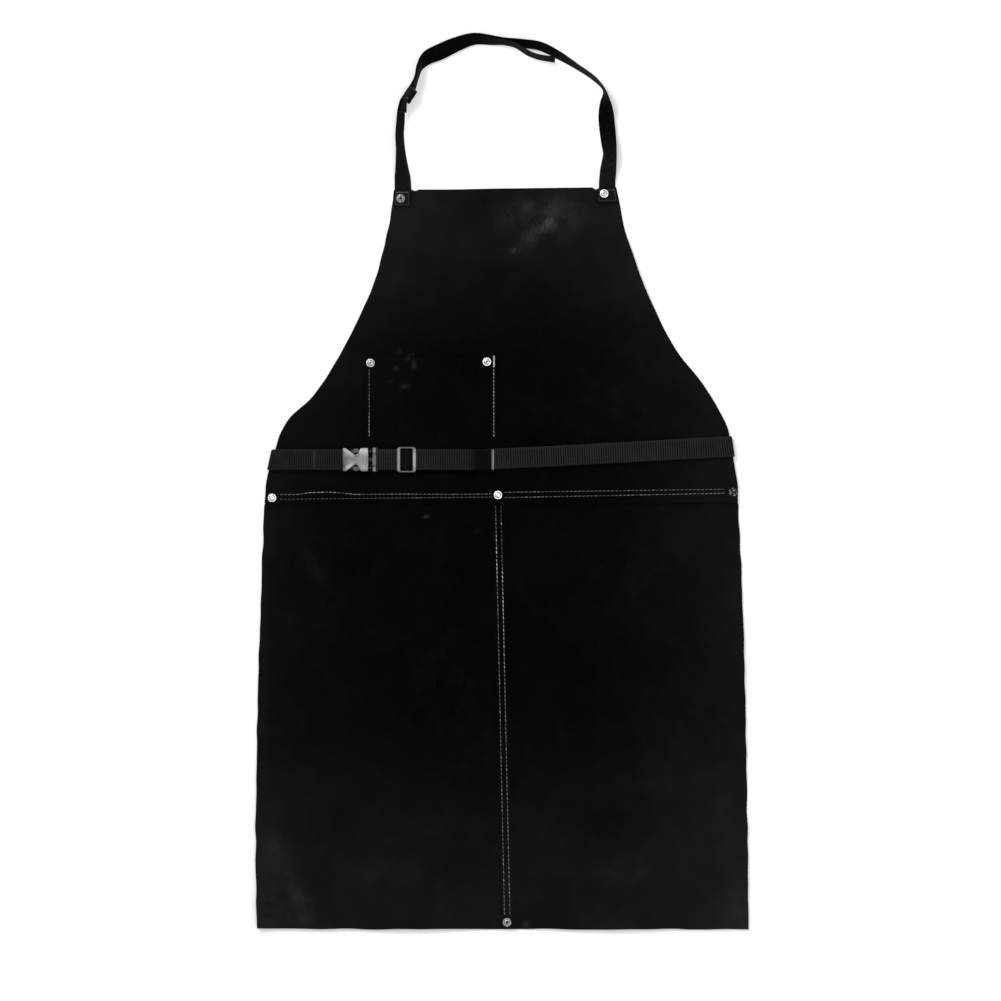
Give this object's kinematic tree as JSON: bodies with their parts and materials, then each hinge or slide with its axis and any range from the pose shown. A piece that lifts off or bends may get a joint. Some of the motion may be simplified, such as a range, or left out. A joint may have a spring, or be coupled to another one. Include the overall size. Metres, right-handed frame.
{
  "type": "welding apron",
  "caption": "Bib apron of split leather with a chest pocket, stitched and riveted seams, a buckled waist belt and an adjustable neck strap, laid flat.",
  "frame": {"origin": "under the middle of the laid apron, on the surface that it lies on", "axes": "+Z out of the front face, +Y from the hem to the neck strap, +X to the right of someone who looks at the front"},
  "size_m": [0.6, 1.0924, 0.0264],
  "materials": {
    "leather": "napped split leather, near black, scuffed",
    "belt_webbing": "ribbed woven webbing",
    "neck_webbing": "woven webbing",
    "thread": "twisted heat-resistant thread",
    "nickel": "nickel plated, slightly dulled",
    "buckle_plastic": "moulded, semi-gloss grey",
    "slider_plastic": "moulded, semi-gloss dark grey"
  },
  "bodies": {
    "apron": {"bib_panel": "leather", "skirt_left_sewn_edge": "leather", "skirt_right_sewn_edge": "leather", "chest_pocket": "leather", "corner_patch_left": "leather", "corner_patch_right": "leather", "neck_strap_end_left": "neck_webbing", "neck_strap_end_right": "neck_webbing", "rivet_cap_neck_left": "nickel", "rivet_base_neck_left": "nickel", "rivet_cap_neck_right": "nickel", "rivet_base_neck_right": "nickel", "rivet_cap_pocket_left": "nickel", "rivet_base_pocket_left": "nickel", "rivet_cap_pocket_right": "nickel", "rivet_base_pocket_right": "nickel", "rivet_cap_waist_left": "nickel", "rivet_base_waist_left": "nickel", "rivet_cap_waist_centre": "nickel", "rivet_base_waist_centre": "nickel", "rivet_cap_waist_right": "nickel", "rivet_base_waist_right": "nickel", "waist_thread_lower_left": "thread", "waist_thread_upper_left": "thread", "waist_thread_lower_right": "thread", "waist_thread_upper_right": "thread", "pocket_thread_left": "thread", "pocket_thread_right": "thread", "pocket_thread_bottom": "thread", "patch_thread_left": "thread", "patch_thread_right": "thread", "belt_end_thread_left": "thread", "belt_end_thread_right": "thread", "belt_loop_bartack": "thread", "belt_strap_left": "belt_webbing", "belt_strap_right": "belt_webbing", "buckle_female": "buckle_plastic"},
    "skirts": {"skirt_left": "leather", "skirt_right": "leather", "centre_thread_left": "thread", "centre_thread_right": "thread", "rivet_cap_hem": "nickel", "rivet_base_hem": "nickel"},
    "neck_loop": {"neck_tab": "neck_webbing", "neck_strap": "neck_webbing", "neck_slider": "slider_plastic"},
    "buckle_end": {"buckle_male": "buckle_plastic", "belt_pull_through": "belt_webbing"},
    "release_arm_upper": {"release_arm_upper": "buckle_plastic"},
    "release_arm_lower": {"release_arm_lower": "buckle_plastic"},
    "belt_slider": {"belt_slider": "slider_plastic"}
  },
  "joints": [
    {"name": "skirt_fold", "type": "hinge", "parent": "apron", "child": "skirts", "pos_m": [0, -0.02622, 0.0042], "axis": [-1, 0, 0], "range_deg": [0, 150]},
    {"name": "neck_loop_fold", "type": "hinge", "parent": "apron", "child": "neck_loop", "pos_m": [0, 0.36008, 0.0057], "axis": [1, 0, 0], "range_deg": [0, 150]},
    {"name": "buckle_pull", "type": "slide", "parent": "apron", "child": "buckle_end", "axis": [1, 0, 0], "range_m": [0, 0.034], "deforming": ["release_arm_upper", "release_arm_lower", "belt_strap_right"]},
    {"name": "release_upper", "type": "hinge", "parent": "buckle_end", "child": "release_arm_upper", "pos_m": [-0.1582, 0.03628, 0.0111], "axis": [0, 0, 1], "range_deg": [0, 7], "stiffness_Nm_per_rad": 0.4},
    {"name": "release_lower", "type": "hinge", "parent": "buckle_end", "child": "release_arm_lower", "pos_m": [-0.1582, 0.01628, 0.0111], "axis": [0, 0, -1], "range_deg": [0, 7], "stiffness_Nm_per_rad": 0.4},
    {"name": "belt_slider_slide", "type": "slide", "parent": "buckle_end", "child": "belt_slider", "axis": [1, 0, 0], "range_m": [-0.005, 0.09]}
  ]
}
